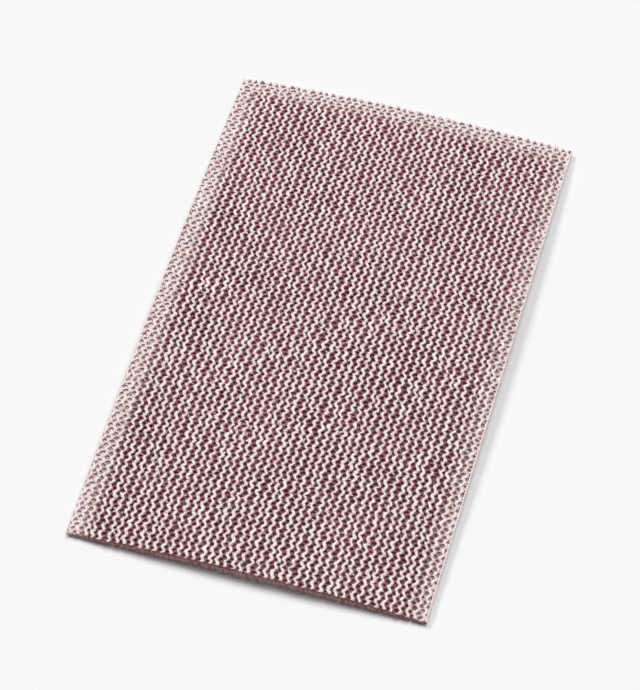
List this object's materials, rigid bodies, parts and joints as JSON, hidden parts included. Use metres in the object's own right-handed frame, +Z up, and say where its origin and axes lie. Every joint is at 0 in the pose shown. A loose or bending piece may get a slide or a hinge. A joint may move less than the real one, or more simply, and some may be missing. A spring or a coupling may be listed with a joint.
{
  "type": "abrasive mesh sheet",
  "caption": "Rectangular knitted abrasive mesh sheet with pale zigzag ribs along it and a dark red web with holes between them, lying slightly arched on its corners.",
  "frame": {"origin": "on the table surface, under the middle of the sheet as it lies on its four corners", "axes": "+Z up from the table, +Y along the sheet's length and its ribs, +X across its width"},
  "size_m": [0.081, 0.133, 0.0038],
  "materials": {
    "coated_knit": "matte pinkish white knitted ribs with a dark red resin and grit coating between them"
  },
  "bodies": {
    "root": {"mesh_sheet": "coated_knit"}
  },
  "joints": []
}
